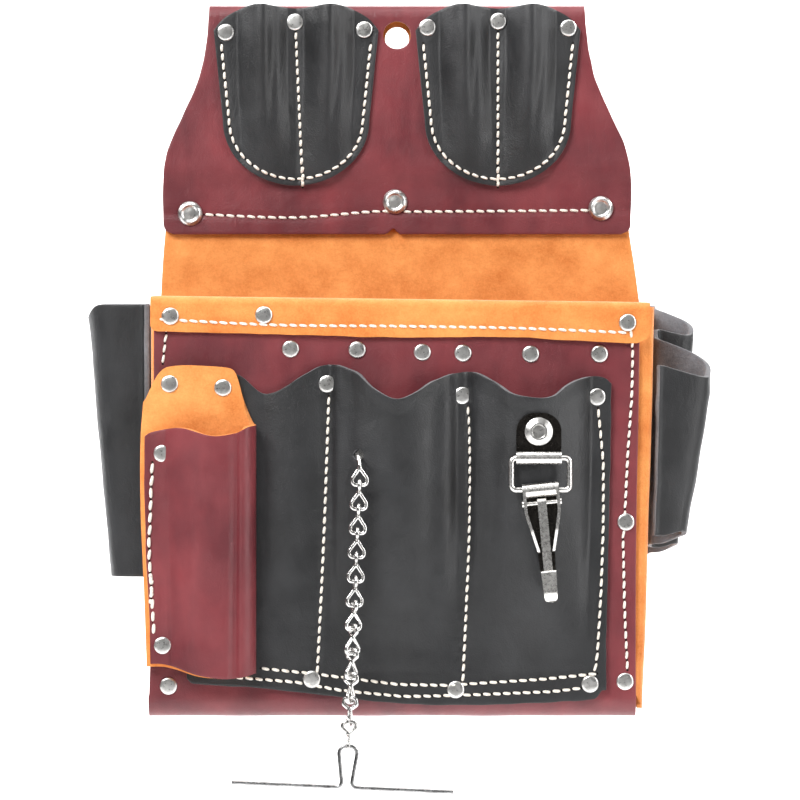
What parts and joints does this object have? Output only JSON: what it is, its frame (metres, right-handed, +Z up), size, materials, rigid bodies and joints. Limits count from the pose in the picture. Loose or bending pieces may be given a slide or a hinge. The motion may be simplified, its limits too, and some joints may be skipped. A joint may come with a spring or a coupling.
{
  "type": "electrician tool pouch",
  "caption": "Leather electrician's tool pouch worn on a belt, with outer pockets, a tool sheath, side holders, a chain with a tape bar and a snap clip.",
  "frame": {"origin": "centre of the hang hole, half way between the two leaves of the belt tunnel", "axes": "+Z up as it hangs, -Y out of the front, +X to the viewer's right when looking at the front"},
  "size_m": [0.3121, 0.1052, 0.3981],
  "materials": {
    "burgundy_leather": "satin",
    "tan_leather": "matte",
    "black_leather": "satin",
    "rivet_nickel": "polished",
    "clip_nickel": "polished",
    "chain_steel": "polished",
    "bar_steel": "polished"
  },
  "bodies": {
    "pouch": {"tunnel_panel": "burgundy_leather", "body_panel": "burgundy_leather", "left_gusset": "tan_leather", "right_gusset": "tan_leather", "mouth_binding": "tan_leather", "inner_loop_strip": "tan_leather", "front_pocket": "black_leather", "left_top_pocket": "black_leather", "right_top_pocket": "black_leather", "tool_sheath": "burgundy_leather", "left_holder": "black_leather", "right_holder": "black_leather", "tunnel_rivets": "rivet_nickel", "top_pocket_rivets": "rivet_nickel", "mouth_rivets": "rivet_nickel", "strip_rivets": "rivet_nickel", "front_pocket_rivets": "rivet_nickel", "sheath_rivets": "rivet_nickel", "side_seam_rivets": "rivet_nickel", "holder_rivets": "rivet_nickel", "clip_plate": "clip_nickel", "clip_rivet": "rivet_nickel", "chain_anchor": "chain_steel", "chain_washer": "chain_steel"},
    "chain_link_01": {"chain_link_01": "chain_steel"},
    "chain_link_02": {"chain_link_02": "chain_steel"},
    "chain_link_03": {"chain_link_03": "chain_steel"},
    "chain_link_04": {"chain_link_04": "chain_steel"},
    "chain_link_05": {"chain_link_05": "chain_steel"},
    "chain_link_06": {"chain_link_06": "chain_steel"},
    "chain_link_07": {"chain_link_07": "chain_steel"},
    "chain_link_08": {"chain_link_08": "chain_steel"},
    "chain_link_09": {"chain_link_09": "chain_steel"},
    "chain_link_10": {"chain_link_10": "chain_steel"},
    "chain_link_11": {"chain_link_11": "chain_steel"},
    "tape_bar": {"tape_bar": "bar_steel"},
    "clip_ring": {"clip_ring": "clip_nickel"},
    "snap": {"snap_frame": "clip_nickel", "snap_pin": "clip_nickel", "snap_spring": "clip_nickel"},
    "snap_lever": {"snap_lever": "clip_nickel"}
  },
  "joints": [
    {"name": "chain_out_1", "type": "hinge", "parent": "pouch", "child": "chain_link_01", "pos_m": [-0.01845, -0.0905, -0.22824], "axis": [-0.999, 0, 0.0436], "range_deg": [0, 28]},
    {"name": "chain_side_1", "type": "hinge", "parent": "chain_link_01", "child": "chain_link_02", "pos_m": [-0.01887, -0.0905, -0.23791], "axis": [0, 1, 0], "range_deg": [-20, 20]},
    {"name": "chain_out_2", "type": "hinge", "parent": "chain_link_02", "child": "chain_link_03", "pos_m": [-0.01949, -0.0905, -0.25216], "axis": [-0.999, 0, 0.0436], "range_deg": [0, 28]},
    {"name": "chain_side_2", "type": "hinge", "parent": "chain_link_03", "child": "chain_link_04", "pos_m": [-0.01992, -0.0905, -0.26183], "axis": [0, -1, 0], "range_deg": [-20, 20]},
    {"name": "chain_out_3", "type": "hinge", "parent": "chain_link_04", "child": "chain_link_05", "pos_m": [-0.02054, -0.0905, -0.27608], "axis": [-0.999, 0, 0.0436], "range_deg": [0, 28]},
    {"name": "chain_side_3", "type": "hinge", "parent": "chain_link_05", "child": "chain_link_06", "pos_m": [-0.02096, -0.0905, -0.28575], "axis": [-0.3417, 0.9397, 0.0149], "range_deg": [-20, 20]},
    {"name": "chain_out_4", "type": "hinge", "parent": "chain_link_06", "child": "chain_link_07", "pos_m": [-0.02158, -0.0905, -0.3], "axis": [-0.9388, -0.342, 0.041], "range_deg": [0, 28]},
    {"name": "chain_side_4", "type": "hinge", "parent": "chain_link_07", "child": "chain_link_08", "pos_m": [-0.02201, -0.0905, -0.30967], "axis": [0.7653, -0.6428, -0.0334], "range_deg": [-20, 20]},
    {"name": "chain_out_5", "type": "hinge", "parent": "chain_link_08", "child": "chain_link_09", "pos_m": [-0.02253, -0.0905, -0.32162], "axis": [-0.9127, 0.4067, 0.0398], "range_deg": [0, 28]},
    {"name": "chain_side_5", "type": "hinge", "parent": "chain_link_09", "child": "chain_link_10", "pos_m": [-0.02315, -0.0905, -0.33587], "axis": [0.4064, 0.9135, -0.0177], "range_deg": [-20, 20]},
    {"name": "chain_out_6", "type": "hinge", "parent": "chain_link_10", "child": "chain_link_11", "pos_m": [-0.02357, -0.0905, -0.34554], "axis": [-0.999, 0, 0.0436], "range_deg": [0, 28]},
    {"name": "chain_side_6", "type": "hinge", "parent": "chain_link_11", "child": "tape_bar", "pos_m": [-0.02419, -0.0905, -0.35979], "axis": [0, -1, 0], "range_deg": [-20, 20]},
    {"name": "ring_swing", "type": "hinge", "parent": "pouch", "child": "clip_ring", "pos_m": [0.0712, -0.0914, -0.2148], "axis": [-1, 0, 0], "range_deg": [0, 100]},
    {"name": "snap_swing", "type": "hinge", "parent": "clip_ring", "child": "snap", "pos_m": [0.0712, -0.0914, -0.2306], "axis": [-1, 0, 0], "range_deg": [0, 70]},
    {"name": "lever_press", "type": "hinge", "parent": "snap", "child": "snap_lever", "pos_m": [0.0718, -0.0928, -0.23697], "axis": [0.9956, 0, 0.0941], "range_deg": [0, 5], "stiffness_Nm_per_rad": 0.02}
  ]
}
